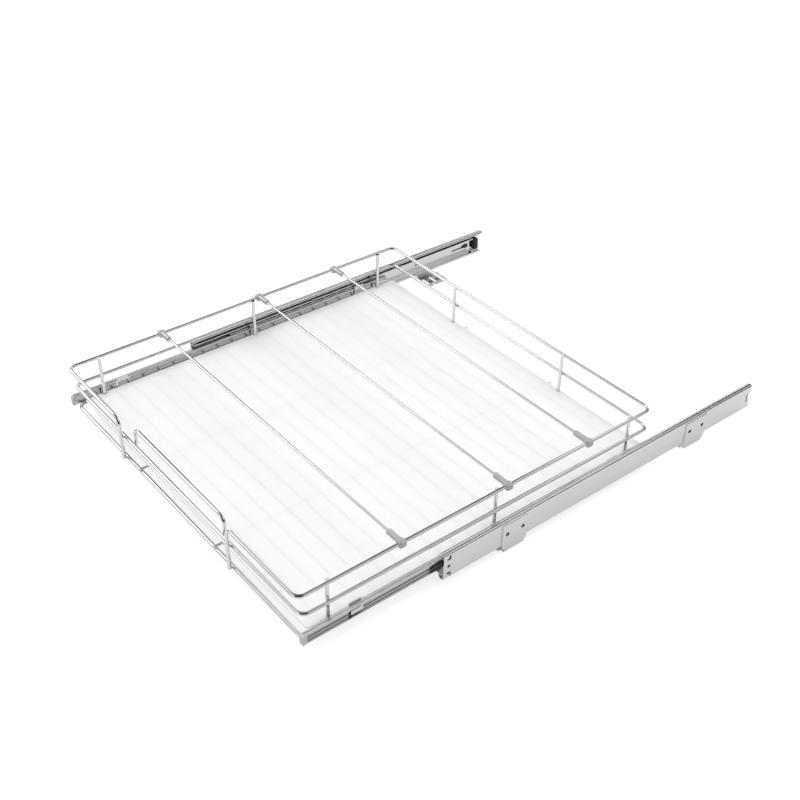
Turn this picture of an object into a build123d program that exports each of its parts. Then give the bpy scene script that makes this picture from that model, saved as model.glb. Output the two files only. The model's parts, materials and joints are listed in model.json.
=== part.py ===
from build123d import *
import os

# Pull-out wire basket on a pair of three-section ball slides, in millimetres.
# The origin lies on the cabinet floor, at the centre of the four bracket feet.
# +X is to the right of a person who pulls, +Y goes into the cabinet, +Z is up.

# Wire basket
rail_wire = 4.5  # diameter of rails, rim, posts and grip
base_wire = 3.0  # diameter of the wires under the mat
weld_gap = 0.05  # left between two wires for their weld
basket_width = 481.0  # between centre lines of the side rails
basket_depth = 489.5  # between centre lines of the front and the back rail
corner_radius = 9.0
middle_above_rim = 30.5
top_above_middle = 26.5
front_gap_half = 114.5  # from the middle to the turned-down end of the top rail
turn_down_radius = 12.0
grip_half = 95.0
grip_rise = 20.5
grip_radius = 10.0
grip_foot = 2.0  # how far the grip's legs reach below the middle rail's centre
side_post_setbacks = (33.5, 253.5, 458.5)  # from the front rail
back_post_half = 101.0
post_over_top = 1.2  # how far a post stands above the top rail's centre

# Base
cross_wire_first = 26.0  # from the front rail
cross_wire_pitch = 21.9
cross_wire_count = 21
long_wire_half = 80.5
long_wire_lap = 10.0  # length that lies on the front or the back rim
long_wire_step = 8.0  # length of the step down under the cross wires
long_wire_bend = 6.0
mat_thickness = 1.2
mat_setback = 7.5  # from the front rail to the mat's front edge
mat_side_gap = 3.0  # from the side rail's centre to the mat's side edge
mat_back_gap = 2.5
mat_post_gap = 0.4
mat_corner = 4.0

# Dividers that slide along the side rails
rod_diameter = 3.6
rod_setbacks = (121.5, 266.0, 387.0)  # from the front rail
rod_above_rail = 1.3
clip_fit = 0.1  # radial clearance of a clip on its rail
rod_fit = 0.05  # radial clearance of the rod in its barrel
clip_ring = 10.4  # outer diameter of the ring round the rail
clip_ring_width = 9.4
clip_mouth = 3.4  # opening under the ring
clip_barrel = 7.2  # diameter of the barrel that takes the rod
clip_barrel_length = 15.0  # beyond the ring
clip_floor = 2.0  # left in the barrel between the rod's end and the ring
clip_round = 3.2  # of the ring's two rims
collar_diameter = 5.4
collar_length = 1.4

# Slides
slide_thickness = 12.7
slide_length = 500.0
slide_height = 35.0
slide_above_floor = 8.0
sheet = 1.2
cabinet_depth = 8.2
cabinet_lip = 2.1
cabinet_corner = 3.4
ball_diameter = 4.4
ball_fit = 0.05
ball_track = 4.1  # between the flat faces on each side of a ball row
outer_ball_out = 8.5  # from the basket-side face of the slide to the outer balls
inner_ball_out = 3.5
middle_edge_out = 2.0
middle_web_out = 10.5  # outer face of the middle member's web
middle_corner = 1.8
drawer_depth = 5.2
drawer_corner = 1.6
pull_out = 170.0  # how far the drawer members stand out at rest
stage_travel = 250.0  # of each of the two stages
cage_sheet = 0.5
cage_arm = 1.0
cage_gap = 0.4  # between the inner cage and the middle member's web
cage_length = 210.0
cage_spare = 12.5  # left between a cage and the end of its track at full travel
cage_edge = 0.3  # left of the cage outside a ball pocket
balls_in_row = 10
ball_pitch = 20.0
pocket_fit = 0.1

# Stops and end pieces
bumper_setback = 8.5  # from the cabinet member's rear edge
bumper_length = 7.5
bumper_height = 16.0
bumper_width = 8.0
bumper_round = 1.0
middle_shut_gap = 4.5  # between the middle member and the bumper
drawer_shut_gap = 0.5  # between the drawer member and the bumper when shut
stop_slot_setback = 5.0  # from the middle member's rear edge
stop_slot_length = 30.0
stop_slot_height = 5.0
stop_block_length = 6.0
stop_block_rise = 1.6
tab_setback = 101.0  # from the middle member's rear edge to the lanced stop
tab_radius = 4.0
tab_rise = 1.3
cap_face = 2.0
cap_depth = 6.4
cap_plug = 4.0
cap_plug_fit = 0.1
cap_round = 0.8

# Slots and holes in the cabinet members
front_slot_setback = 4.3  # from the front edge
front_slot_rise = 11.2  # middles of the two angled slots, above and below the hole
front_slot_size = 5.6
front_slot_width = 2.4
front_hole = 4.2
rear_slot_setback = 6.5
rear_slot_height = 12.0
rear_slot_width = 2.0
rear_notch_height = 10.0
rear_notch_depth = 2.5

# Hooks that hold the basket on the drawer members
hook_setbacks = (62.0, 430.0)  # from the front rail
hook_width = 15.0
hook_sheet = 1.2
hook_above_member = 2.8
hook_tongue_rise = 0.0  # of the tongue's underside over the slide's centre
hook_tongue_out = 3.4
hook_tongue_drop = 5.6
window_gap = 1.2  # between the tongue and each end of its window
window_below = 0.3  # under the tongue
window_above = 4.3  # over the tongue

# Brackets
bracket_spacing = 296.0
front_bracket_setback = 99.5  # from the cabinet member's front edge
bracket_width = 36.0
bracket_sheet = 1.5
bracket_above_centre = 13.5
bracket_bend = 2.5
fold_cut_top = 8.0  # height of the cut at each end of the fold
fold_cut_depth = 4.0
fold_cut_reach = 6.0  # inward from the upright's outer face
foot_reach = 17.5  # inward beyond the side rail's centre
foot_slot_length = 17.0
foot_slot_width = 4.5
foot_slot_pitch = 13.0
foot_slot_inset = 5.0  # from the foot's inner edge to the slot's end
foot_notch_width = 3.0
foot_notch_depth = 6.0
foot_corner = 1.5
side_hole = 5.0
side_hole_half = 11.2  # from the bracket's middle

# Heights
slide_z = slide_above_floor + slide_height / 2
rim_below_slide = 6.0
rim_z = slide_z - rim_below_slide
middle_z = rim_z + middle_above_rim
top_z = middle_z + top_above_middle
cross_z = rim_z + rail_wire / 2 + base_wire / 2 + weld_gap
long_z = cross_z - base_wire - weld_gap
mat_z = cross_z + base_wire / 2 + weld_gap
rod_z = top_z + rod_above_rail

# Depths
slide_front = -bracket_spacing / 2 - front_bracket_setback
slide_rear = slide_front + slide_length
bumper_front = slide_rear - bumper_setback - bumper_length
middle_rear = bumper_front - middle_shut_gap
middle_length = middle_rear - slide_front
drawer_length = bumper_front - drawer_shut_gap - slide_front
drawer_front = slide_front - pull_out
rail_behind_member = 3.5
front_y = drawer_front + rail_behind_member
back_y = front_y + basket_depth
top_front_y = front_y - rail_wire - weld_gap

# Widths
rail_x = basket_width / 2
post_x = rail_x - rail_wire - weld_gap
slide_x = rail_x + rail_wire / 2 + weld_gap

# Ball rows and members, as distances from the slide's centre line
cabinet_inside = slide_height / 2 - sheet
middle_half = cabinet_inside - ball_track
middle_inside = middle_half - sheet
drawer_half = middle_inside - ball_track
outer_row = (cabinet_inside + middle_half) / 2
inner_row = (middle_inside + drawer_half) / 2
groove_radius = ball_diameter / 2 + ball_fit
cabinet_web_out = slide_thickness - sheet
middle_web_in = middle_web_out - sheet
cage_start = slide_front + stage_travel / 2 + cage_spare
hook_ys = [front_y + setback for setback in hook_setbacks]
window_height = window_below + hook_sheet + window_above
window_middle = hook_tongue_rise - window_below + window_height / 2
foot_slot_x = rail_x - foot_reach + foot_slot_inset + foot_slot_length / 2

sides = (("left", -1), ("right", 1))
os.makedirs("parts", exist_ok=True)


def out_x(side, distance):
    """X of a point of the slide that lies this far out from its basket side."""
    return side * (slide_x + distance)


def across(y):
    """The plane square to the slides at this depth; its normal points forward."""
    return Plane.XZ.offset(-y)


def keep(made, name):
    """Label one finished piece and write it."""
    made.part.label = name
    export_step(made.part, f"parts/{name}.step")


# --- Rails: two closed loops and the top rail with its turned-down ends ---


def wire_loop(height):
    """One closed rail: a rounded rectangle of wire at this height."""
    with BuildPart() as loop:
        with BuildLine(Plane.XY.offset(height)) as route:
            FilletPolyline(
                (-rail_x, front_y),
                (rail_x, front_y),
                (rail_x, back_y),
                (-rail_x, back_y),
                radius=corner_radius,
                close=True,
            )
        with BuildSketch(Plane(origin=route.line @ 0, z_dir=route.line % 0)):
            Circle(rail_wire / 2)
        sweep(path=route.line)
    return loop


keep(wire_loop(middle_z), "middle_rail")
keep(wire_loop(rim_z), "base_rim")

with BuildPart() as top_rail:
    with BuildLine() as top_route:
        FilletPolyline(
            (-front_gap_half, top_front_y, rim_z),
            (-front_gap_half, top_front_y, top_z),
            (-rail_x, top_front_y, top_z),
            (-rail_x, back_y, top_z),
            (rail_x, back_y, top_z),
            (rail_x, top_front_y, top_z),
            (front_gap_half, top_front_y, top_z),
            (front_gap_half, top_front_y, rim_z),
            radius=(turn_down_radius, *[corner_radius] * 4, turn_down_radius),
        )
    with BuildSketch(Plane(origin=top_route.line @ 0, z_dir=top_route.line % 0)):
        Circle(rail_wire / 2)
    sweep(path=top_route.line)
keep(top_rail, "top_rail")

# The grip is a flat U of wire that stands behind the middle rail's front run.
grip_y = front_y + rail_wire + weld_gap
with BuildPart() as grip_wire:
    with BuildLine() as grip_route:
        FilletPolyline(
            (-grip_half, grip_y, middle_z - grip_foot),
            (-grip_half, grip_y, middle_z + grip_rise),
            (grip_half, grip_y, middle_z + grip_rise),
            (grip_half, grip_y, middle_z - grip_foot),
            radius=grip_radius,
        )
    with BuildSketch(Plane(origin=grip_route.line @ 0, z_dir=grip_route.line % 0)):
        Circle(rail_wire / 2)
    sweep(path=grip_route.line)
keep(grip_wire, "grip_wire")

# --- Posts: short upright wires on the inner side of the rails ---


def post(x, y):
    """One upright from the rim to just over the top rail."""
    with BuildPart() as upright:
        with BuildSketch(Plane.XY.offset(rim_z)):
            with Locations((x, y)):
                Circle(rail_wire / 2)
        extrude(amount=top_z + post_over_top - rim_z)
    return upright


side_post_ys = [front_y + setback for setback in side_post_setbacks]
back_post_y = back_y - rail_wire - weld_gap
for side_name, side in sides:
    for place, post_y in zip(("front", "middle", "rear"), side_post_ys):
        keep(post(side * post_x, post_y), f"{side_name}_{place}_post")
    keep(post(side * back_post_half, back_post_y), f"back_{side_name}_post")

# --- Base: cross wires on the rim, two long wires under them, and the mat ---

cross_wire_ys = [front_y + cross_wire_first + cross_wire_pitch * n for n in range(cross_wire_count)]
with BuildPart() as base_cross_wires:
    with BuildSketch(Plane.YZ.offset(-rail_x)):
        with Locations(*[(y, cross_z) for y in cross_wire_ys]):
            Circle(base_wire / 2)
    extrude(amount=basket_width)
keep(base_cross_wires, "base_cross_wires")

for side_name, side in sides:
    lap_end = front_y - rail_wire / 2 + long_wire_lap
    far_lap_end = back_y + rail_wire / 2 - long_wire_lap
    with BuildPart() as long_wire:
        with BuildLine(Plane.YZ.offset(side * long_wire_half)) as long_route:
            FilletPolyline(
                (front_y - rail_wire / 2, cross_z),
                (lap_end, cross_z),
                (lap_end + long_wire_step, long_z),
                (far_lap_end - long_wire_step, long_z),
                (far_lap_end, cross_z),
                (back_y + rail_wire / 2, cross_z),
                radius=long_wire_bend,
            )
        with BuildSketch(Plane(origin=long_route.line @ 0, z_dir=long_route.line % 0)):
            Circle(base_wire / 2)
        sweep(path=long_route.line)
    keep(long_wire, f"base_long_wire_{side_name}")

mat_front_y = front_y + mat_setback
mat_back_y = back_y - mat_back_gap
mat_x = rail_x - mat_side_gap
post_notch = rail_wire / 2 + mat_post_gap
with BuildPart() as base_mat:
    with BuildSketch(Plane.XY.offset(mat_z)) as mat_outline:
        with Locations((0, (mat_front_y + mat_back_y) / 2)):
            RectangleRounded(2 * mat_x, mat_back_y - mat_front_y, mat_corner)
        for side_name, side in sides:
            with Locations(*[(side * (post_x + post_notch), y) for y in side_post_ys]):
                Rectangle(4 * post_notch, 2 * post_notch, mode=Mode.SUBTRACT)
            with Locations((side * back_post_half, back_post_y + post_notch)):
                Rectangle(2 * post_notch, 4 * post_notch, mode=Mode.SUBTRACT)
    extrude(amount=mat_thickness)
keep(base_mat, "base_mat")

# --- Dividers: a rod with a moulded clip on each end ---

rail_bore = rail_wire / 2 + clip_fit
clip_ring_in = rail_x - clip_ring / 2
barrel_end = clip_ring_in - clip_barrel_length
rod_half = clip_ring_in - clip_floor


def divider_rod(y):
    """The rod, with the bright collar at the mouth of each barrel."""
    with BuildPart() as rod:
        with BuildSketch(Plane.YZ.offset(-rod_half)):
            with Locations((y, rod_z)):
                Circle(rod_diameter / 2)
        extrude(amount=2 * rod_half)
        for side_name, side in sides:
            with BuildSketch(Plane.YZ.offset(side * barrel_end)):
                with Locations((y, rod_z)):
                    Circle(collar_diameter / 2)
            extrude(amount=-side * collar_length)
    return rod


def divider_clip(side, y):
    """The ring round the rail, open underneath, and the barrel for the rod."""
    with BuildPart() as clip:
        with BuildSketch(across(y + clip_ring_width / 2)):
            with Locations((side * rail_x, top_z)):
                Circle(clip_ring / 2)
        extrude(amount=clip_ring_width)
        fillet(clip.edges().filter_by(GeomType.CIRCLE), clip_round)
        with BuildSketch(Plane.YZ.offset(side * rail_x)):
            with Locations((y, rod_z)):
                Circle(clip_barrel / 2)
        extrude(amount=side * (barrel_end - rail_x))
        with BuildSketch(across(y + clip_barrel)):
            with Locations((side * rail_x, top_z)):
                Circle(rail_bore)
            with Locations((side * rail_x, top_z - clip_ring / 2)):
                Rectangle(clip_mouth, clip_ring)
        extrude(amount=2 * clip_barrel, mode=Mode.SUBTRACT)
        with BuildSketch(Plane.YZ.offset(side * barrel_end)):
            with Locations((y, rod_z)):
                Circle(rod_diameter / 2 + rod_fit)
        extrude(amount=side * (rod_half + rod_fit - barrel_end), mode=Mode.SUBTRACT)
    return clip


for place, setback in zip(("front", "middle", "rear"), rod_setbacks):
    rod_y = front_y + setback
    keep(divider_rod(rod_y), f"{place}_divider_rod")
    for side_name, side in sides:
        keep(divider_clip(side, rod_y), f"{place}_divider_clip_{side_name}")

# --- Slide members: three nested channels on each side ---


def ball_rows(side, distance, row):
    """Centres of an upper and a lower ball row, seen along the slide."""
    return [(out_x(side, distance), slide_z + height) for height in (-row, row)]


def bracket_holes():
    """Centres of the holes that go through the brackets and the member behind them."""
    middles = (-bracket_spacing / 2, bracket_spacing / 2)
    return [(y + shift, slide_z) for y in middles for shift in (-side_hole_half, side_hole_half)]


def cabinet_member(side):
    """The outer channel, open to the basket, with its curled lips."""
    with BuildPart() as member:
        with BuildSketch(across(slide_rear)):
            with Locations((out_x(side, slide_thickness - cabinet_depth / 2), slide_z)):
                RectangleRounded(cabinet_depth, slide_height, cabinet_corner)
                RectangleRounded(
                    cabinet_depth - 2 * sheet,
                    2 * cabinet_inside,
                    cabinet_corner - sheet,
                    mode=Mode.SUBTRACT,
                )
            with Locations((out_x(side, slide_thickness - cabinet_depth), slide_z)):
                Rectangle(3 * sheet, 2 * (cabinet_inside - cabinet_lip), mode=Mode.SUBTRACT)
            with Locations(*ball_rows(side, outer_ball_out, outer_row)):
                Circle(groove_radius, mode=Mode.SUBTRACT)
        extrude(amount=slide_length)
        with BuildSketch(Plane.YZ.offset(out_x(side, cabinet_web_out - sheet))):
            front_y = slide_front + front_slot_setback + front_slot_size / 2
            arm = (front_slot_size - front_slot_width) / 2
            for up in (1, -1):
                with Locations((front_y + arm, slide_z + up * front_slot_rise)):
                    Rectangle(front_slot_width, front_slot_size)
                with Locations((front_y, slide_z + up * (front_slot_rise - arm))):
                    Rectangle(front_slot_size, front_slot_width)
            with Locations((front_y, slide_z)):
                Circle(front_hole / 2)
            with Locations((slide_rear - rear_slot_setback, slide_z)):
                SlotOverall(rear_slot_height, rear_slot_width, rotation=90)
            with Locations((slide_rear, slide_z)):
                Rectangle(2 * rear_notch_depth, rear_notch_height)
            with Locations(*bracket_holes()):
                Circle(side_hole / 2)
        extrude(amount=side * 3 * sheet, mode=Mode.SUBTRACT)
    return member


def middle_member(side):
    """The channel between, with ball grooves on both faces of its flanges."""
    depth = middle_web_out - middle_edge_out
    slot_middle = middle_rear - stop_slot_setback - stop_slot_length / 2
    with BuildPart() as member:
        with BuildSketch(across(middle_rear)) as section:
            with Locations((out_x(side, middle_web_out - depth / 2), slide_z)):
                Rectangle(depth, 2 * middle_half)
            fillet(section.vertices().sort_by(Axis.X, reverse=side > 0)[:2], middle_corner)
            with Locations((out_x(side, middle_web_in - depth), slide_z)):
                Rectangle(2 * depth, 2 * middle_inside, mode=Mode.SUBTRACT)
            with Locations(*ball_rows(side, outer_ball_out, outer_row)):
                Circle(groove_radius, mode=Mode.SUBTRACT)
            with Locations(*ball_rows(side, inner_ball_out, inner_row)):
                Circle(groove_radius, mode=Mode.SUBTRACT)
        extrude(amount=middle_length)
        with BuildSketch(Plane.YZ.offset(out_x(side, middle_web_in - sheet))):
            with Locations((slot_middle, slide_z)):
                Rectangle(stop_slot_length, stop_slot_height)
        extrude(amount=side * 3 * sheet, mode=Mode.SUBTRACT)
        with BuildSketch(Plane.YZ.offset(out_x(side, middle_web_in))):
            with Locations((middle_rear - tab_setback, slide_z)):
                RegularPolygon(tab_radius, 3, rotation=90)
        extrude(amount=-side * tab_rise)
    return member


def drawer_member(side):
    """The inner channel, open outward, with a window for each basket hook."""
    with BuildPart() as member:
        with BuildSketch(across(drawer_front + drawer_length)) as section:
            with Locations((out_x(side, drawer_depth / 2), slide_z)):
                Rectangle(drawer_depth, 2 * drawer_half)
            fillet(section.vertices().sort_by(Axis.X, reverse=side < 0)[:2], drawer_corner)
            with Locations((out_x(side, sheet + drawer_depth), slide_z)):
                Rectangle(2 * drawer_depth, 2 * (drawer_half - sheet), mode=Mode.SUBTRACT)
            with Locations(*ball_rows(side, inner_ball_out, inner_row)):
                Circle(groove_radius, mode=Mode.SUBTRACT)
        extrude(amount=drawer_length)
        with BuildSketch(Plane.YZ.offset(out_x(side, -sheet))):
            with Locations(*[(y, slide_z + window_middle) for y in hook_ys]):
                Rectangle(hook_width + 2 * window_gap, window_height)
        extrude(amount=side * 3 * sheet, mode=Mode.SUBTRACT)
    return member


def basket_hooks(side):
    """Two plates on the rim; each has a tongue that hooks through a window."""
    hook_top = slide_z + drawer_half + hook_above_member
    hook_bottom = rim_z + rail_wire / 2 + weld_gap
    tongue_bottom = slide_z + hook_tongue_rise
    with BuildPart() as hooks:
        with BuildSketch(Plane.YZ.offset(out_x(side, 0))):
            with Locations(*[(y, (hook_top + hook_bottom) / 2) for y in hook_ys]):
                Rectangle(hook_width, hook_top - hook_bottom)
        extrude(amount=-side * hook_sheet)
        with BuildSketch(Plane.YZ.offset(out_x(side, 0))):
            with Locations(*[(y, tongue_bottom + hook_sheet / 2) for y in hook_ys]):
                Rectangle(hook_width, hook_sheet)
        extrude(amount=side * hook_tongue_out)
        with BuildSketch(Plane.YZ.offset(out_x(side, hook_tongue_out))):
            with Locations(*[(y, tongue_bottom + hook_sheet - hook_tongue_drop / 2) for y in hook_ys]):
                Rectangle(hook_width, hook_tongue_drop)
        extrude(amount=-side * hook_sheet)
    return hooks


def end_cap(side):
    """The plastic cap at the drawer member's front, with its plug in the channel."""
    plug_depth = drawer_depth - sheet - cap_plug_fit
    with BuildPart() as cap:
        with BuildSketch(across(drawer_front)):
            with Locations((out_x(side, cap_depth / 2), slide_z)):
                RectangleRounded(cap_depth, 2 * drawer_half, drawer_corner)
        extrude(amount=cap_face)
        fillet(cap.faces().sort_by(Axis.Y)[0].edges(), cap_round)
        with BuildSketch(across(drawer_front + cap_plug)):
            with Locations((out_x(side, sheet + cap_plug_fit + plug_depth / 2), slide_z)):
                Rectangle(plug_depth, 2 * (drawer_half - sheet - cap_plug_fit))
        extrude(amount=cap_plug)
    return cap


# --- Ball cages and balls: one cage in each of a slide's two gaps ---

first_ball_y = cage_start + (cage_length - ball_pitch * (balls_in_row - 1)) / 2
ball_ys = [first_ball_y + ball_pitch * n for n in range(balls_in_row)]


def ball_cage(side, ball_out, row, web_in, shift):
    """A thin channel that spans both ball rows and keeps the balls apart."""
    pocket = ball_diameter / 2 + pocket_fit
    edge = ball_out - pocket - cage_edge
    web_out = web_in + cage_sheet
    front = cage_start - shift
    with BuildPart() as cage:
        with BuildSketch(across(front + cage_length)):
            with Locations((out_x(side, (edge + web_out) / 2), slide_z)):
                Rectangle(web_out - edge, 2 * row + cage_arm)
            with Locations((out_x(side, web_in - (web_out - edge) / 2), slide_z)):
                Rectangle(web_out - edge, 2 * row - cage_arm, mode=Mode.SUBTRACT)
        extrude(amount=cage_length)
        with BuildSketch(Plane.XY.offset(slide_z - row - cage_arm)):
            with Locations(*[(out_x(side, ball_out), y - shift) for y in ball_ys]):
                Circle(pocket)
        extrude(amount=2 * (row + cage_arm), mode=Mode.SUBTRACT)
    return cage


def ball_set(side, ball_out, row, shift):
    """The steel balls of one cage."""
    with BuildPart() as balls:
        for height in (-row, row):
            with Locations(*[(out_x(side, ball_out), y - shift, slide_z + height) for y in ball_ys]):
                Sphere(ball_diameter / 2)
    return balls


# --- Stops and brackets ---


def rear_bumper(side):
    """The rubber block that stops the drawer member when the basket is shut."""
    with BuildPart() as bumper:
        with BuildSketch(across(slide_rear - bumper_setback)):
            with Locations((out_x(side, cabinet_web_out - bumper_width / 2), slide_z)):
                Rectangle(bumper_width, bumper_height)
        extrude(amount=bumper_length)
        fillet(bumper.faces().sort_by(Axis.Y)[0].edges(), bumper_round)
    return bumper


def stop_block(side):
    """The black block in the rear end of the middle member's slot."""
    rear = middle_rear - stop_slot_setback
    with BuildPart() as block:
        with BuildSketch(Plane.YZ.offset(out_x(side, middle_web_out))):
            with Locations((rear - stop_block_length / 2, slide_z)):
                Rectangle(stop_block_length, stop_slot_height)
        extrude(amount=-side * (sheet + stop_block_rise))
    return block


def bracket(side, middle_y):
    """An angle plate: upright on the cabinet member, foot turned in under the slide."""
    upright_top = slide_z + bracket_above_centre
    foot_in_x = rail_x - foot_reach
    foot_out_x = slide_x + slide_thickness + bracket_sheet
    foot_width = foot_out_x - foot_in_x
    foot_middle = side * (foot_in_x + foot_out_x) / 2
    half = bracket_width / 2
    with BuildPart() as angle:
        with BuildSketch(across(middle_y + half)) as section:
            with Locations((foot_middle, upright_top / 2)):
                Rectangle(foot_width, upright_top)
            outer_corner = section.vertices().group_by(Axis.Y)[0].sort_by(Axis.X, reverse=side > 0)[0]
            fillet(outer_corner, bracket_bend)
            with Locations((foot_middle - side * bracket_sheet, upright_top / 2 + bracket_sheet)):
                RectangleRounded(foot_width, upright_top, bracket_bend - bracket_sheet, mode=Mode.SUBTRACT)
        extrude(amount=bracket_width)
        foot_corners = angle.edges().filter_by(Axis.Z).sort_by(Axis.X, reverse=side < 0)[:2]
        fillet(foot_corners, foot_corner)
        # Both ends of the fold are cut away, with a slope up to the upright's full width.
        with BuildSketch(Plane.YZ.offset(side * foot_out_x)):
            for end in (-1, 1):
                edge = middle_y + end * half
                with BuildLine():
                    Polyline(
                        (edge, -bracket_sheet),
                        (edge, fold_cut_top),
                        (edge - end * fold_cut_depth, fold_cut_top - fold_cut_depth),
                        (edge - end * fold_cut_depth, -bracket_sheet),
                        close=True,
                    )
                make_face()
        extrude(amount=-side * fold_cut_reach, mode=Mode.SUBTRACT)
        with BuildSketch(Plane.XY):
            for shift in (-foot_slot_pitch, 0, foot_slot_pitch):
                with Locations((side * foot_slot_x, middle_y + shift)):
                    SlotOverall(foot_slot_length, foot_slot_width)
            with Locations((side * foot_in_x, middle_y - foot_slot_pitch / 2)):
                Rectangle(2 * foot_notch_depth, foot_notch_width)
        extrude(amount=bracket_sheet, mode=Mode.SUBTRACT)
        with BuildSketch(Plane.YZ.offset(side * foot_out_x)):
            with Locations(*[(middle_y + shift, slide_z) for shift in (-side_hole_half, side_hole_half)]):
                Circle(side_hole / 2)
        extrude(amount=-side * bracket_sheet, mode=Mode.SUBTRACT)
    return angle


outer_cage_in = (middle_web_out + cabinet_web_out - cage_sheet) / 2
inner_cage_in = middle_web_in - cage_gap - cage_sheet
inner_shift = pull_out / 2

for side_name, side in sides:
    keep(cabinet_member(side), f"{side_name}_cabinet_member")
    keep(middle_member(side), f"{side_name}_middle_member")
    keep(drawer_member(side), f"{side_name}_drawer_member")
    keep(basket_hooks(side), f"{side_name}_basket_hooks")
    keep(end_cap(side), f"{side_name}_end_cap")
    keep(ball_cage(side, outer_ball_out, outer_row, outer_cage_in, 0), f"{side_name}_outer_cage")
    keep(ball_set(side, outer_ball_out, outer_row, 0), f"{side_name}_outer_balls")
    keep(ball_cage(side, inner_ball_out, inner_row, inner_cage_in, inner_shift), f"{side_name}_inner_cage")
    keep(ball_set(side, inner_ball_out, inner_row, inner_shift), f"{side_name}_inner_balls")
    keep(rear_bumper(side), f"{side_name}_rear_bumper")
    keep(stop_block(side), f"{side_name}_stop_block")
    for place, middle_y in (("front", -bracket_spacing / 2), ("rear", bracket_spacing / 2)):
        keep(bracket(side, middle_y), f"{side_name}_{place}_bracket")
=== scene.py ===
import bpy
import json
from math import cos, radians, sin
from mathutils import Matrix, Vector


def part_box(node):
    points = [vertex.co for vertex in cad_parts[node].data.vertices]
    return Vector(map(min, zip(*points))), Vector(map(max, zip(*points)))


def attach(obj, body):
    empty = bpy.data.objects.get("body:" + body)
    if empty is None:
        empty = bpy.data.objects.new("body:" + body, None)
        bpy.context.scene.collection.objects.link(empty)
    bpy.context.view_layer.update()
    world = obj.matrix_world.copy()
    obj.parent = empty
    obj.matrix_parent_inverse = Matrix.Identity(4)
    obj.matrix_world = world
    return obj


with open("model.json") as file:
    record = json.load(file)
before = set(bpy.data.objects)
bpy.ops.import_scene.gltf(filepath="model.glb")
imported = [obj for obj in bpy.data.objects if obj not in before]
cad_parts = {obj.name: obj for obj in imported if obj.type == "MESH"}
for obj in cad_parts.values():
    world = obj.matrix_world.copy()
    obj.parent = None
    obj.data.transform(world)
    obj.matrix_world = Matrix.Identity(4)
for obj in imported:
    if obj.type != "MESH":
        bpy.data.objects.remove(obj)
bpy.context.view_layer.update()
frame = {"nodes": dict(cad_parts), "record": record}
scene = bpy.context.scene
nodes = frame["nodes"]
print("frame loaded,", len(nodes), "nodes")


def boxMiddle(name):
    low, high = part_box(name)
    return [(a + b) / 2 for a, b in zip(low, high)]


def direction(azimuth, elevation):
    # azimuth 0 is the front, 90 the right side
    a, e = radians(azimuth), radians(elevation)
    return sin(a) * cos(e), -cos(a) * cos(e), sin(e)


def addNode(tree, kind, **values):
    node = tree.nodes.new(kind)
    for key, value in values.items():
        if hasattr(node, key):
            setattr(node, key, value)
        else:
            node.inputs[key.replace("_", " ")].default_value = value
    return node


def worked(tree, operation, *values):
    # each value is a number or a socket
    node = addNode(tree, "ShaderNodeMath", operation=operation)
    for n, value in enumerate(values):
        if isinstance(value, (int, float)):
            node.inputs[n].default_value = value
        else:
            tree.links.new(value, node.inputs[n])
    return node.outputs[0]


def ranged(tree, source, low, high, fromLow=0.3, fromHigh=0.7):
    node = addNode(tree, "ShaderNodeMapRange", From_Min=fromLow, From_Max=fromHigh, To_Min=low, To_Max=high)
    tree.links.new(source, node.inputs["Value"])
    return node.outputs["Result"]


def mixed(tree, factor, under, over):
    # under is a colour or a socket, over a colour
    node = addNode(tree, "ShaderNodeMix", data_type="RGBA")
    if isinstance(under, tuple):
        node.inputs["A"].default_value = (*under, 1)
    else:
        tree.links.new(under, node.inputs["A"])
    node.inputs["B"].default_value = (*over, 1)
    tree.links.new(factor, node.inputs["Factor"])
    return node.outputs["Result"]


def objectPlace(tree):
    return addNode(tree, "ShaderNodeTexCoord").outputs["Object"]


def objectAxes(tree):
    axes = addNode(tree, "ShaderNodeSeparateXYZ")
    tree.links.new(objectPlace(tree), axes.inputs[0])
    return axes.outputs


def objectNoise(tree, scale, stretch, detail):
    mapping = addNode(tree, "ShaderNodeMapping", Scale=stretch)
    noise = addNode(tree, "ShaderNodeTexNoise", Scale=scale, Detail=detail)
    tree.links.new(objectPlace(tree), mapping.inputs["Vector"])
    tree.links.new(mapping.outputs["Vector"], noise.inputs["Vector"])
    return noise.outputs["Fac"]


def material(name):
    mat = bpy.data.materials.new(name)
    mat.use_nodes = True
    return mat, mat.node_tree, mat.node_tree.nodes["Principled BSDF"]


even = (1, 1, 1)  # stretch of a noise that runs the same way on all axes
grainDepth = 0.0002


def finished(name, look):
    # patches steer the tone and the roughness, and grain the bump: both are scale, stretch, detail
    mat, tree, shader = material(name)
    shader.inputs["Metallic"].default_value = look.get("metal", 0.0)
    patches = objectNoise(tree, *look["patches"])
    if "color" in look:
        shader.inputs["Base Color"].default_value = (*look["color"], 1)
    else:
        tone = mixed(tree, ranged(tree, patches, 0.0, 1.0), look["dark"], look["light"])
        tree.links.new(tone, shader.inputs["Base Color"])
    tree.links.new(ranged(tree, patches, look["roughLow"], look["roughHigh"]), shader.inputs["Roughness"])
    if "grain" in look:
        bump = addNode(tree, "ShaderNodeBump", Strength=look["grainStrength"], Distance=grainDepth)
        tree.links.new(objectNoise(tree, *look["grain"]), bump.inputs["Height"])
        tree.links.new(bump.outputs["Normal"], shader.inputs["Normal"])
    return mat, tree, shader


def overlaid(tree, shader, factor, color):
    # lays a colour over what the base colour shows so far
    base = shader.inputs["Base Color"]
    tree.links.new(mixed(tree, factor, base.links[0].from_socket, color), base)


chromeLook = {
    "metal": 1.0,
    "dark": (0.78, 0.782, 0.782),
    "light": (0.83, 0.832, 0.832),
    "roughLow": 0.03,
    "roughHigh": 0.06,
    "patches": (22.0, even, 3.0),
    "grain": (900.0, even, 2.0),
    "grainStrength": 0.05,
}

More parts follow.
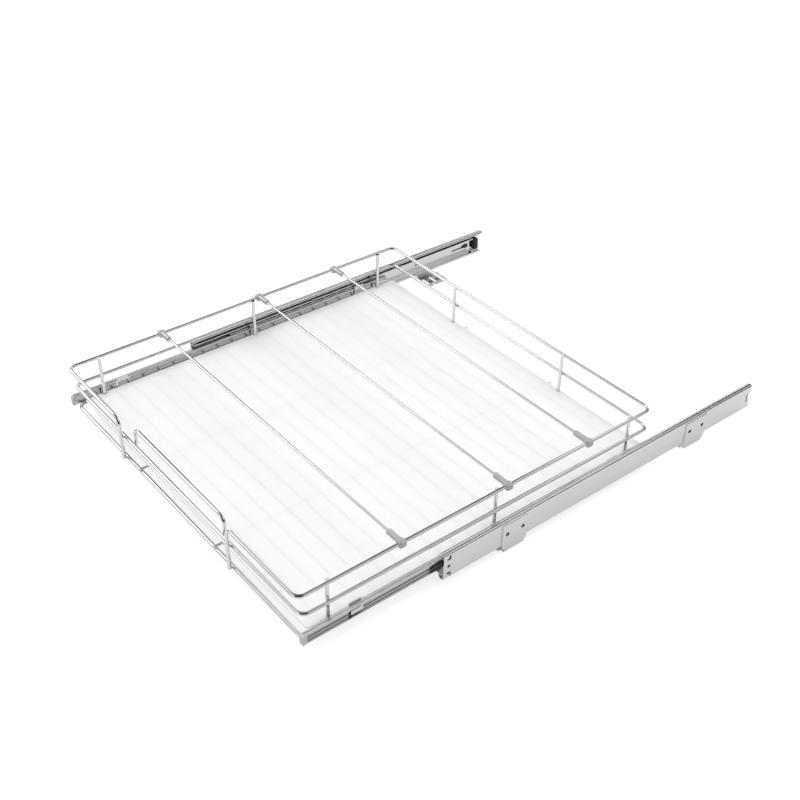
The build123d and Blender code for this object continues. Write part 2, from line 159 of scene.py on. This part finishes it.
zincLook = {
    "metal": 1.0,
    "dark": (0.73, 0.732, 0.735),
    "light": (0.77, 0.772, 0.775),
    "roughLow": 0.16,
    "roughHigh": 0.21,
    "patches": (60.0, (6, 0.25, 6), 4.0),  # drawn out along the slides
    "grain": (700.0, (1, 0.2, 1), 2.0),
    "grainStrength": 0.12,
}

# painted shade: the ball side of the drawer members is painted darker, with one painted shadow line along it
paintedDrawerShade = {
    "face": {"color": (0.63, 0.632, 0.635), "half": 0.0075, "drop": 0.0},
    "line": {"color": (0.12, 0.122, 0.125), "half": 0.0009, "drop": 0.0035},
    "webHalf": 0.0006,  # half the web's thickness
    "soft": 0.2,  # share of a band's half height over which its edge fades
}


def drawerSteelWithPaintedShade():
    mat, tree, shader = finished("drawerSteelWithPaintedShade", zincLook)
    axes = objectAxes(tree)
    across = worked(tree, "ABSOLUTE", axes["X"])
    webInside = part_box("right_drawer_member")[0][0]
    ballSide = worked(tree, "GREATER_THAN", across, webInside + paintedDrawerShade["webHalf"])
    # paints the darker face and the shadow line as soft bands on the ball side
    for part in ("face", "line"):
        shadeBand = paintedDrawerShade[part]
        height = worked(tree, "SUBTRACT", axes["Z"], boxMiddle("right_drawer_member")[2] - shadeBand["drop"])
        inner, outer = [shadeBand["half"] * (1 + side * paintedDrawerShade["soft"]) for side in (-1, 1)]
        near = ranged(tree, worked(tree, "ABSOLUTE", height), 1.0, 0.0, inner, outer)
        overlaid(tree, shader, worked(tree, "MULTIPLY", near, ballSide), shadeBand["color"])
    return mat


ballLook = {
    "metal": 1.0,
    "color": (0.62, 0.62, 0.64),
    "roughLow": 0.06,
    "roughHigh": 0.22,
    "patches": (300.0, even, 3.0),
}

rubberLook = {
    "dark": (0.015, 0.015, 0.016),
    "light": (0.035, 0.035, 0.036),
    "roughLow": 0.55,
    "roughHigh": 0.75,
    "patches": (500.0, even, 3.0),
}

mouldedSkin = {"patches": (120.0, even, 3.0), "grain": (2200.0, even, 2.0), "grainStrength": 0.1}

clipLook = {
    "metal": 0.35,
    "dark": (0.44, 0.442, 0.445),
    "light": (0.5, 0.502, 0.505),
    "roughLow": 0.2,
    "roughHigh": 0.28,
}

capLook = {"dark": (0.6, 0.6, 0.6), "light": (0.68, 0.68, 0.68), "roughLow": 0.35, "roughHigh": 0.45}

blockLook = {"dark": (0.02, 0.02, 0.021), "light": (0.035, 0.035, 0.036), "roughLow": 0.35, "roughHigh": 0.5}


def mouldedPlastic(name, look):
    return finished(name, {**mouldedSkin, **look})[0]


crossWireCount = 21


def baseWires():
    # first row of the cross wires along Y, their pitch and radius, and how far out the long wires lie
    low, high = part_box("base_cross_wires")
    radius = (high[2] - low[2]) / 2
    first, last = low[1] + radius, high[1] - radius
    return first, (last - first) / (crossWireCount - 1), radius, boxMiddle("base_long_wire_right")[0]


matLook = {
    "dark": (0.94, 0.94, 0.94),
    "light": (0.96, 0.96, 0.96),
    "roughLow": 0.36,
    "roughHigh": 0.44,
    "patches": (9.0, even, 3.0),
    "grain": (1500.0, even, 2.0),
    "grainStrength": 0.08,
    "ior": 1.45,
    "clearness": 0.3,
    "paintedWireShade": (0.86, 0.865, 0.865),
    "crossWirePaintedShade": 0.45,  # how strongly the painted shade of the wires shows
    "longWirePaintedShade": 0.4,
    "lineCore": 0.3,  # where a line starts and ends its fade, in radii of the wire
    "lineEdge": 1.5,
}


def frostedMat():
    mat, tree, shader = finished("frostedMat", matLook)
    shader.inputs["IOR"].default_value = matLook["ior"]
    shader.inputs["Transmission Weight"].default_value = matLook["clearness"]
    # painted shade: the wires that carry the mat are painted on it as faint darker lines where they would
    # show through
    first, pitch, radius, longX = baseWires()
    axes = objectAxes(tree)
    crossAway = worked(tree, "PINGPONG", worked(tree, "SUBTRACT", axes["Y"], first), pitch / 2)
    sideAway = worked(tree, "SUBTRACT", worked(tree, "ABSOLUTE", axes["X"]), longX)
    longAway = worked(tree, "ABSOLUTE", sideAway)
    core, edge = matLook["lineCore"] * radius, matLook["lineEdge"] * radius
    crossShadeLine = ranged(tree, crossAway, matLook["crossWirePaintedShade"], 0.0, core, edge)
    longShadeLine = ranged(tree, longAway, matLook["longWirePaintedShade"], 0.0, core, edge)
    # lays the painted shade of the wires over the mat's tone
    overlaid(tree, shader, worked(tree, "ADD", crossShadeLine, longShadeLine), matLook["paintedWireShade"])
    return mat


finishes = {
    "chrome_wire": finished("chromeWire", chromeLook)[0],
    "zinc_steel": finished("zincSteel", zincLook)[0],
    "ball_steel": finished("ballSteel", ballLook)[0],
    "grey_plastic": mouldedPlastic("greyPlastic", clipLook),
    "pale_plastic": mouldedPlastic("palePlastic", capLook),
    "mat_plastic": frostedMat(),
    "black_rubber": finished("blackRubber", rubberLook)[0],
    "black_plastic": mouldedPlastic("blackPlastic", blockLook),
}
# the drawer members get the zinc with painted shade on their ball side
drawerFinishWithPaintedShade = drawerSteelWithPaintedShade()
slotOf = {part["node"]: part["material_slot"] for part in frame["record"]["subparts"]}
for name, obj in nodes.items():
    for place in obj.material_slots:
        place.material = drawerFinishWithPaintedShade if name.endswith("drawer_member") else finishes[slotOf[name]]
print("materials made and given to the frame's nodes")


# welds: a small flattened bead wherever two wires touch
weldLook = {
    "radius": 0.0018,
    "flatness": 0.4,  # height of a bead as a share of its width
    "spread": 0.12,  # how much the beads differ in size
    "seed": 7,
    "roundness": 2,  # subdivisions of a bead
    "frontEnd": 0.1145,  # from the middle to each turned-down end of the top rail
}


def beadTree():
    tree = bpy.data.node_groups.new("weldBeads", "GeometryNodeTree")
    socket = tree.interface.new_socket
    socket("Geometry", in_out="INPUT", socket_type="NodeSocketGeometry")
    socket("Bead Radius", in_out="INPUT", socket_type="NodeSocketFloat")
    socket("Spread", in_out="INPUT", socket_type="NodeSocketFloat")
    socket("Seed", in_out="INPUT", socket_type="NodeSocketInt")
    socket("Finish", in_out="INPUT", socket_type="NodeSocketMaterial")
    socket("Geometry", in_out="OUTPUT", socket_type="NodeSocketGeometry")
    link = tree.links.new
    given = addNode(tree, "NodeGroupInput")
    bead = addNode(tree, "GeometryNodeMeshIcoSphere", Subdivisions=weldLook["roundness"])
    shape = addNode(tree, "GeometryNodeInputNamedAttribute", data_type="FLOAT_VECTOR", Name="beadShape")
    chance = addNode(tree, "FunctionNodeRandomValue", data_type="FLOAT")
    scaled = addNode(tree, "ShaderNodeVectorMath", operation="SCALE")
    placed = addNode(tree, "GeometryNodeInstanceOnPoints")
    whole = addNode(tree, "GeometryNodeRealizeInstances")
    smooth = addNode(tree, "GeometryNodeSetShadeSmooth")
    finish = addNode(tree, "GeometryNodeSetMaterial")
    made = addNode(tree, "NodeGroupOutput")
    # each bead is up to the spread smaller or larger than the others
    least = worked(tree, "SUBTRACT", 1.0, given.outputs["Spread"])
    most = worked(tree, "ADD", 1.0, given.outputs["Spread"])
    low, high = [port for port in chance.inputs if port.type == "VALUE" and port.enabled][:2]
    drawn = [port for port in chance.outputs if port.enabled][0]
    link(least, low)
    link(most, high)
    link(given.outputs["Seed"], chance.inputs["Seed"])
    link(shape.outputs["Attribute"], scaled.inputs[0])
    link(drawn, scaled.inputs["Scale"])
    link(given.outputs["Bead Radius"], bead.inputs["Radius"])
    link(given.outputs["Geometry"], placed.inputs["Points"])
    link(bead.outputs["Mesh"], placed.inputs["Instance"])
    link(scaled.outputs["Vector"], placed.inputs["Scale"])
    link(placed.outputs["Instances"], whole.inputs["Geometry"])
    link(whole.outputs["Geometry"], smooth.inputs["Geometry"])
    link(smooth.outputs["Geometry"], finish.inputs["Geometry"])
    link(given.outputs["Finish"], finish.inputs["Material"])
    link(finish.outputs["Geometry"], made.inputs["Geometry"])
    return tree


def weldSpots():
    # each spot is a place and the axis along which its bead is flat
    spots = []
    rimLow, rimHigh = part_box("base_rim")
    gripLow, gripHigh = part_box("grip_wire")
    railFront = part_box("middle_rail")[0][1]
    half = (rimHigh[2] - rimLow[2]) / 2  # of a rail's wire
    rimZ, railZ = boxMiddle("base_rim")[2], boxMiddle("middle_rail")[2]
    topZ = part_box("top_rail")[1][2] - half
    first, pitch, radius, longX = baseWires()
    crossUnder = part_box("base_cross_wires")[0][2]
    for row in range(crossWireCount):
        y = first + pitch * row
        for side in (-1, 1):
            spots.append(((side * (rimHigh[0] - half), y, rimHigh[2]), 2))
            spots.append(((side * longX, y, crossUnder), 2))
    for name in nodes:
        if name.endswith("_post"):
            low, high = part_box(name)
            x, y = boxMiddle(name)[:2]
            for z in (rimZ, railZ, topZ):
                if name.startswith("back"):
                    spots.append(((x, high[1], z), 1))
                else:
                    spots.append(((low[0] if x < 0 else high[0], y, z), 0))
    for side in (-1, 1):
        spots.append(((side * (gripHigh[0] - half), gripLow[1], railZ), 1))
        for z in (rimZ, railZ):
            spots.append(((side * weldLook["frontEnd"], railFront, z), 1))
        for y in (rimLow[1] + half, rimHigh[1] - half):
            spots.append(((side * longX, y, rimHigh[2]), 2))
    return spots


def weldBeads():
    spots = weldSpots()
    mesh = bpy.data.meshes.new("weldBeads")
    mesh.from_pydata([place for place, axis in spots], [], [])
    shapes = mesh.attributes.new("beadShape", "FLOAT_VECTOR", "POINT")
    for n, (place, axis) in enumerate(spots):
        shapes.data[n].vector = [weldLook["flatness"] if axis == k else 1.0 for k in range(3)]
    obj = bpy.data.objects.new("weldBeads", mesh)
    scene.collection.objects.link(obj)
    tree = beadTree()
    modifier = obj.modifiers.new("weldBeads", "NODES")
    modifier.node_group = tree
    sockets = {item.name: item.identifier for item in tree.interface.items_tree if item.in_out == "INPUT"}
    modifier[sockets["Bead Radius"]] = weldLook["radius"]
    modifier[sockets["Spread"]] = weldLook["spread"]
    modifier[sockets["Seed"]] = weldLook["seed"]
    modifier[sockets["Finish"]] = finishes["chrome_wire"]
    bpy.context.view_layer.update()
    seen = obj.evaluated_get(bpy.context.evaluated_depsgraph_get())
    beads = bpy.data.meshes.new_from_object(seen)
    obj.modifiers.remove(modifier)
    obj.data = beads
    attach(obj, "basket")
    print("welds:", len(spots), "beads")


weldBeads()


stageLook = {
    "floorSide": 30.0,
    "floorColor": (0.42, 0.42, 0.42),
    "floorRough": 0.9,
    "floorShine": 0.1,
    "lift": 0.72,  # glow that takes the lit floor up to white where it is seen
    "mirrorLift": 0.36,  # the same in a reflection
    "ambient": 0.8,
}


def seenRay(tree, mirrorLevel):
    # 1 for a ray that shows the backdrop straight or through the mat, mirrorLevel in a reflection
    ray = addNode(tree, "ShaderNodeLightPath").outputs
    mirrored = worked(tree, "MULTIPLY", ray["Is Glossy Ray"], mirrorLevel)
    through = worked(tree, "MAXIMUM", mirrored, ray["Is Transmission Ray"])
    return worked(tree, "MAXIMUM", through, ray["Is Camera Ray"])


def whiteFloor():
    half = stageLook["floorSide"] / 2
    corners = [(-half, -half, 0), (half, -half, 0), (half, half, 0), (-half, half, 0)]
    mesh = bpy.data.meshes.new("floor")
    mesh.from_pydata(corners, [], [(0, 1, 2, 3)])
    floor = bpy.data.objects.new("floor", mesh)
    scene.collection.objects.link(floor)
    mat, tree, shader = material("floorPaper")
    shader.inputs["Base Color"].default_value = (*stageLook["floorColor"], 1)
    shader.inputs["Roughness"].default_value = stageLook["floorRough"]
    shader.inputs["Specular IOR Level"].default_value = stageLook["floorShine"]
    shader.inputs["Emission Color"].default_value = (1, 1, 1, 1)
    seen = seenRay(tree, stageLook["mirrorLift"] / stageLook["lift"])
    tree.links.new(worked(tree, "MULTIPLY", seen, stageLook["lift"]), shader.inputs["Emission Strength"])
    mesh.materials.append(mat)


def whiteWorld():
    world = bpy.data.worlds.new("studio")
    scene.world = world
    world.use_nodes = True
    tree = world.node_tree
    background = tree.nodes["Background"]
    background.inputs["Color"].default_value = (1, 1, 1, 1)
    level = ranged(tree, seenRay(tree, 1.0), stageLook["ambient"], 1.0, 0.0, 1.0)
    tree.links.new(level, background.inputs["Strength"])


lampTarget = Vector((0.0, -0.08, 0.04))
lampLook = {
    "topSoftbox": {
        "azimuth": 200,
        "elevation": 78,
        "distance": 2.6,
        "size": (2.4, 2.4),
        "power": 42,
        "mirrored": False,
    },
    "leftSoftbox": {
        "azimuth": -60,
        "elevation": 30,
        "distance": 2.8,
        "size": (1.6, 0.6),
        "power": 9,
        "mirrored": True,
    },
}


def areaLamp(name, look):
    lamp = bpy.data.lights.new(name, "AREA")
    lamp.shape = "RECTANGLE"
    lamp.size, lamp.size_y = look["size"]
    lamp.energy = look["power"]
    obj = bpy.data.objects.new(name, lamp)
    back = Vector(direction(look["azimuth"], look["elevation"]))
    obj.location = lampTarget + back * look["distance"]
    obj.rotation_mode = "QUATERNION"
    obj.rotation_quaternion = back.to_track_quat("Z", "Y")
    obj.visible_glossy = look["mirrored"]
    scene.collection.objects.link(obj)


# dark cloths round the set, seen only in reflections, draw the thin dark lines on the chrome
flagLook = {
    "ceilingFlag": {"from": 0, "to": 360, "low": 55.5, "high": 89, "shade": 0.12},
    "upperLeftFlag": {"from": 252, "to": 276, "low": 36, "high": 55.5, "shade": 0.1},
    "leftFlag": {"from": 262, "to": 345, "low": 1, "high": 17, "shade": 0.03},
    "backFlag": {"from": 155, "to": 207, "low": 34, "high": 49, "shade": 0.03},
    "rearLeftFlag": {"from": 229, "to": 247, "low": 3, "high": 36, "shade": 0.02},
    "highRearFlag": {"from": 200, "to": 217, "low": 43, "high": 55.5, "shade": 0.03},
    "backRightFlag": {"from": 88, "to": 178, "low": 1, "high": 27, "shade": 0.03},
    "cameraFlag": {"from": 12, "to": 86, "low": 1, "high": 60, "shade": 0.02},
}
flagReach = 3.2
flagColumns, flagRows = 48, 8


def darkFlag(name, look):
    # a patch of a sphere between two azimuths and two elevations
    points, faces = [], []
    for m in range(flagRows + 1):
        elevation = look["low"] + (look["high"] - look["low"]) * m / flagRows
        for n in range(flagColumns + 1):
            azimuth = look["from"] + (look["to"] - look["from"]) * n / flagColumns
            points.append([flagReach * c for c in direction(azimuth, elevation)])
    across = flagColumns + 1
    for m in range(flagRows):
        for n in range(flagColumns):
            k = m * across + n
            faces.append((k, k + 1, k + across + 1, k + across))
    mesh = bpy.data.meshes.new(name)
    mesh.from_pydata(points, [], faces)
    obj = bpy.data.objects.new(name, mesh)
    scene.collection.objects.link(obj)
    cloth, _, shader = material(name)
    shader.inputs["Base Color"].default_value = (look["shade"], look["shade"], look["shade"], 1)
    shader.inputs["Roughness"].default_value = 1.0
    mesh.materials.append(cloth)
    obj.visible_camera = False
    obj.visible_diffuse = False
    obj.visible_shadow = False
    obj.visible_transmission = False


whiteFloor()
whiteWorld()
for name, look in lampLook.items():
    areaLamp(name, look)
for name, look in flagLook.items():
    darkFlag(name, look)
print("floor, world, lamps and flags made")


cameraFit = {
    "azimuth": 50.903,
    "elevation": 36.142,
    "roll": 1.019,
    "distance": 1.4161,
    "target": (0.0226, -0.1204, 0.0500),
    "lens": 53.17,
    "sensor": 36.0,
    "nearest": 0.01,
    "furthest": 50,
}


def photoCamera():
    data = bpy.data.cameras.new("photoCamera")
    data.lens = cameraFit["lens"]
    data.sensor_width = cameraFit["sensor"]
    data.clip_start, data.clip_end = cameraFit["nearest"], cameraFit["furthest"]
    cam = bpy.data.objects.new("photoCamera", data)
    scene.collection.objects.link(cam)
    back = Vector(direction(cameraFit["azimuth"], cameraFit["elevation"]))
    a = radians(cameraFit["azimuth"])
    right = Vector((cos(a), sin(a), 0))
    turn = Matrix((right, back.cross(right), back)).transposed().to_4x4()
    cam.matrix_world = (
        Matrix.Translation(Vector(cameraFit["target"]) + back * cameraFit["distance"])
        @ turn
        @ Matrix.Rotation(radians(cameraFit["roll"]), 4, "Z")
    )
    scene.camera = cam


photoCamera()
scene.view_settings.view_transform = "Standard"
